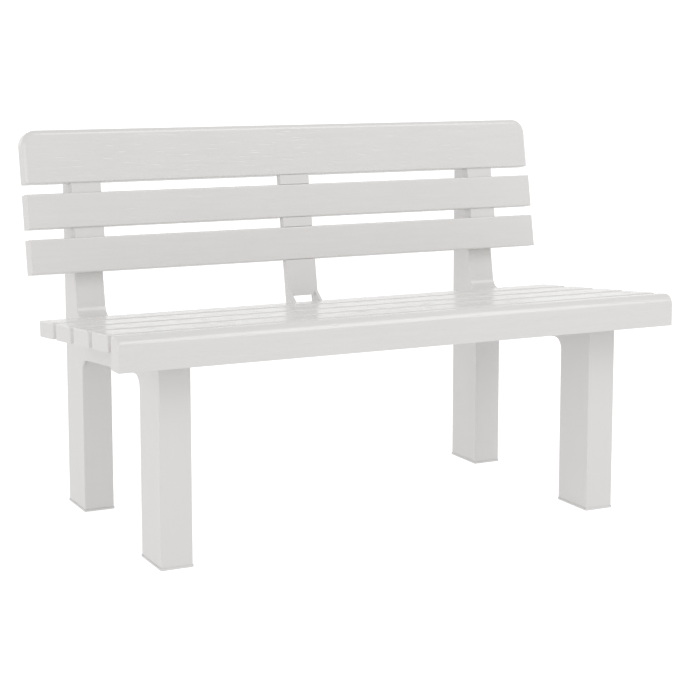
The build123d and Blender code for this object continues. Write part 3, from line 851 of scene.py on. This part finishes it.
@dataclass
class Screws:
    """Pan-head screws with a cross recess.

    Attributes:
        slope: Slope of the seat, in radians.
        lean: Lean of the back, in radians.
        head_radius: Radius of the heads, in metres.
        head_height: Height of the heads.
        head_sides: Sides of a head's mesh.
        head_rings: Rings of a head's mesh.
        crown: How far the heads draw in towards their top, from 0 to 1.
        shank_radius: Radius of the shanks.
        shank_sides: Sides of a shank's mesh.
        shank_middle: Share of a shank's length to its middle, under half, so that it dips into the head.
        recess_length: Length of the cross.
        recess_width: Width of its bars.
        recess_depth: Depth of the cross.
        tree: The tree that sets screws on points.
    """

    slope: float = SEAT_SLOPE
    lean: float = BACK_LEAN
    head_radius: float = 0.005
    head_height: float = 0.0022
    head_sides: int = 24
    head_rings: int = 6
    crown: float = 0.62
    shank_radius: float = 0.0023
    shank_sides: int = 16
    shank_middle: float = 0.499
    recess_length: float = 0.0056
    recess_width: float = 0.0012
    recess_depth: float = 0.0013
    tree: ShapeTree = field(init=False)

    def __post_init__(self) -> None:
        """Builds the tree that sets screws on points."""
        self.tree = ShapeTree("pan_head_screws")
        tree = self.tree
        tilt = tree.inlet("Tilt", Inlet.NUMBER)
        length = tree.inlet("Shank length", Inlet.NUMBER)
        finish = tree.inlet("Finish", Inlet.FINISH)
        blank = tree.solid("UNION", self.head(), self.shank(length))
        screw = tree.solid("DIFFERENCE", *self.cross(), body=blank)
        row = tree.add(
            "GeometryNodeInstanceOnPoints",
            {"Points": tree.start, "Instance": screw, "Rotation": tree.turn_about_x(tilt)},
        ).outputs[0]
        tree.close(row, finish)

    def head(self) -> bpy.types.NodeSocket:
        """Adds a crowned head that hangs under the origin.

        Returns:
            The output with the head.
        """
        tree, half = self.tree, self.head_height / 2
        mesh = {"Vertices": self.head_sides, "Side Segments": self.head_rings}
        size = {"Radius": self.head_radius, "Depth": self.head_height}
        disc = tree.add("GeometryNodeMeshCylinder", {**mesh, **size}).outputs[0]
        split = tree.split_position()
        climb = tree.between(split.outputs[2], (-half, half), (1.0, 0.0))
        drawn = tree.sum("MULTIPLY", tree.sum("POWER", climb, 2.0), self.crown)
        swell = tree.sum("SQRT", tree.sum("SUBTRACT", 1.0, drawn))
        place = tree.point(
            tree.sum("MULTIPLY", split.outputs[0], swell),
            tree.sum("MULTIPLY", split.outputs[1], swell),
            tree.sum("SUBTRACT", split.outputs[2], half),
        )
        return tree.add("GeometryNodeSetPosition", {0: disc, "Position": place}).outputs[0]

    def shank(self, length: bpy.types.NodeSocket) -> bpy.types.NodeSocket:
        """Adds a shank that stands on the origin.

        Args:
            length: Output with its length.

        Returns:
            The output with the shank.
        """
        tree = self.tree
        size = {"Vertices": self.shank_sides, "Radius": self.shank_radius, "Depth": length}
        rod = tree.add("GeometryNodeMeshCylinder", size).outputs[0]
        middle = tree.point(0.0, 0.0, tree.sum("MULTIPLY", length, self.shank_middle))
        return tree.add("GeometryNodeTransform", {0: rod, "Translation": middle}).outputs[0]

    def cross(self) -> list[bpy.types.NodeSocket]:
        """Adds the two bars that cut the recess.

        Returns:
            The outputs with the bars.
        """
        top = (0.0, 0.0, -self.head_height)
        long, wide, deep = self.recess_length, self.recess_width, 2 * self.recess_depth
        bars = []
        for size in ((long, wide, deep), (wide, long, deep)):
            bar = self.tree.add("GeometryNodeMeshCube", {"Size": size}).outputs[0]
            bars.append(self.tree.add("GeometryNodeTransform", {0: bar, "Translation": top}).outputs[0])
        return bars

    def rows(self) -> tuple[ScrewRow, ...]:
        """Lists the groups with the way each goes in.

        Returns:
            The groups.
        """
        up, ahead = -self.slope, math.pi / 2 - self.lean
        return (
            ScrewRow("seat_screws", up),
            ScrewRow("front_board_screws", up),
            ScrewRow("upright_screws", up),
            ScrewRow("back_end_screws", ahead),
            ScrewRow("back_centre_screws", ahead),
            ScrewRow("cover_screws", math.pi / 2),
        )

    def build(self, finish: bpy.types.Material) -> None:
        """Sets every group's screws where the CAD has them.

        Args:
            finish: The material.
        """
        for row in self.rows():
            way = np.array((0.0, -math.sin(row.tilt), math.cos(row.tilt)))
            seats, length = [], 0.0
            for solid in islands_of(row.node):
                run = solid @ way
                middle = (solid.min(0) + solid.max(0)) / 2
                seats.append(middle + way * (run.min() + self.head_height - middle @ way))
                length = run.max() - run.min() - self.head_height
            start = bpy.data.meshes.new(row.node + "_points")
            start.from_pydata(seats, [], [])
            values = {"Tilt": row.tilt, "Shank length": length, "Finish": finish}
            keep(self.tree.make(row.node + "_set", start, values), row.node)


@dataclass
class PlainMouldings:
    """Smooth mouldings that keep their CAD shape: legs, uprights, battens, strut, rail and covers."""

    nodes: tuple[str, ...] = (
        "leg_frame_left",
        "leg_frame_right",
        "upright_left",
        "upright_right",
        "upright_cover_left",
        "upright_cover_right",
        "back_batten_left",
        "back_batten_right",
        "centre_strut",
        "centre_rail",
    )

    def build(self, finish: bpy.types.Material) -> None:
        """Dresses each moulding."""
        for node in self.nodes:
            dress(node, finish)


@dataclass
class FootPads:
    """Pads that close the legs and stand on the floor."""

    nodes: tuple[str, ...] = ("foot_front_left", "foot_front_right", "foot_rear_left", "foot_rear_right")

    def build(self, finish: bpy.types.Material) -> None:
        """Dresses each pad."""
        for node in self.nodes:
            dress(node, finish)


@dataclass
class StrutBolt:
    """Cross bolt and nut at the foot of the centre strut."""

    nodes: tuple[str, ...] = ("strut_bolt", "strut_nut")

    def build(self, finish: bpy.types.Material) -> None:
        """Dresses bolt and nut."""
        for node in self.nodes:
            dress(node, finish)


@dataclass(frozen=True)
class SoftBox:
    """A large soft lamp.

    Attributes:
        name: Name of the lamp.
        place: Where its middle hangs, in metres.
        aim: Point that it faces.
        width: Size along its own X, in metres.
        height: Size along its own Y, in metres.
        glow: Power of each square metre of its face, in watts, over pi.
    """

    name: str
    place: Point
    aim: Point
    width: float
    height: float
    glow: float

    def hang(self) -> None:
        """Adds the lamp to the scene."""
        data = bpy.data.lights.new(self.name, "AREA")
        data.shape = "RECTANGLE"
        data.size = self.width
        data.size_y = self.height
        data.energy = self.glow * math.pi * self.width * self.height
        lamp = bpy.data.objects.new(self.name, data)
        lamp.location = self.place
        lamp.rotation_euler = (Vector(self.aim) - Vector(self.place)).to_track_quat("-Z", "Y").to_euler()
        bpy.context.scene.collection.objects.link(lamp)


@dataclass
class Studio:
    """Floor, light and camera.

    Attributes:
        floor_half: Half the floor's size, in metres.
        ceiling: Brightness of the room overhead.
        walls: Brightness of the room at the horizon.
        wall_top: Height at which the walls have turned into the ceiling, where straight up is 1.
        back_share: How much brighter the room is behind the bench, and darker before it.
        backdrop: Brightness of the room where the camera sees it.
        lamps: The lamps.
        camera_place: Where the camera stands, in metres.
        camera_yaw: How far it looks to the right, in radians.
        camera_pitch: How far it looks down, in radians.
        lens: Its focal length, in millimetres.
        sensor: Width of its picture, in millimetres.
        shift: Its lens shift, in widths of the picture.
        sight: How far it sees, in metres.
    """

    floor_half: float = 30.0
    ceiling: float = 0.66
    walls: float = 1.0
    wall_top: float = 0.6
    back_share: float = 0.18
    backdrop: float = 1.05
    lamps: tuple[SoftBox, ...] = (
        SoftBox("key_box", (1.35, -2.0, 2.75), aim=(0.3, -0.1, 0.4), width=2.1, height=1.9, glow=2.0),
        SoftBox("side_box", (-3.8, -1.9, 1.1), aim=(0.0, 0.0, 0.4), width=4.0, height=2.2, glow=0.8),
    )
    camera_place: Point = (-1.4313, -2.899, 0.8833)
    camera_yaw: float = math.radians(26.383)
    camera_pitch: float = math.radians(7.704)
    lens: float = 88.975
    sensor: float = 36.0
    shift: float = -0.1
    sight: float = 100.0

    def build(self) -> None:
        """Sets the stage."""
        self.floor()
        self.light()
        self.camera()

    def floor(self) -> None:
        """Lays the pale floor."""
        half = self.floor_half
        corners = [(-half, -half, 0), (half, -half, 0), (half, half, 0), (-half, half, 0)]
        mesh = bpy.data.meshes.new("floor")
        mesh.from_pydata(corners, [], [(0, 1, 2, 3)])
        mesh.materials.append(PaleFloor().material())
        floor = bpy.data.objects.new("floor", mesh)
        bpy.context.scene.collection.objects.link(floor)

    def light(self) -> None:
        """Makes the soft white surroundings and hangs the lamps."""
        scene = bpy.context.scene
        scene.view_settings.view_transform = "Standard"
        world = bpy.data.worlds.new("studio")
        scene.world = world
        world.use_nodes = True
        world.node_tree.nodes.clear()
        sheet = NodeSheet(world.node_tree)
        way = sheet.add("ShaderNodeTexCoord").outputs["Generated"]
        split = sheet.add("ShaderNodeSeparateXYZ", {0: way})
        room = sheet.between(split.outputs[2], (0.0, self.wall_top), (self.walls, self.ceiling))
        room = sheet.sum("MULTIPLY_ADD", split.outputs[1], self.back_share, room)
        seen = sheet.add("ShaderNodeLightPath").outputs["Is Camera Ray"]
        # A Mix node has its numbers at inputs 2 and 3 and at output 0.
        level = sheet.add("ShaderNodeMix", {0: seen, 2: room, 3: self.backdrop}, data_type="FLOAT")
        glow = {"Color": (1.0, 1.0, 1.0, 1.0), "Strength": level.outputs[0]}
        shell = sheet.add("ShaderNodeBackground", glow)
        sheet.add("ShaderNodeOutputWorld", {"Surface": shell.outputs[0]})
        for lamp in self.lamps:
            lamp.hang()

    def camera(self) -> None:
        """Places the camera at the photo's view."""
        data = bpy.data.cameras.new("camera")
        data.sensor_width = self.sensor
        data.lens = self.lens
        data.shift_y = self.shift
        data.clip_end = self.sight
        camera = bpy.data.objects.new("camera", data)
        camera.location = self.camera_place
        camera.rotation_euler = (math.pi / 2 - self.camera_pitch, 0.0, -self.camera_yaw)
        bpy.context.scene.collection.objects.link(camera)
        bpy.context.scene.camera = camera


def main() -> None:
    """Builds every piece in order, then the studio."""
    logging.basicConfig(level=logging.INFO, format="%(name)s: %(message)s")
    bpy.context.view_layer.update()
    boards = GRAINED_PLASTIC.material()
    smooth = SMOOTH_PLASTIC.material()
    feet = MATT_PLASTIC.material()
    steel = PLATED_STEEL.material()
    grain = GrainTool()
    SeatSlats(grain).build(boards)
    FrontBoard(grain).build(boards)
    BackSlats(grain).build(boards)
    PlainMouldings().build(smooth)
    FootPads().build(feet)
    Screws().build(steel)
    StrutBolt().build(steel)
    Studio().build()


if __name__ == "__main__":
    main()
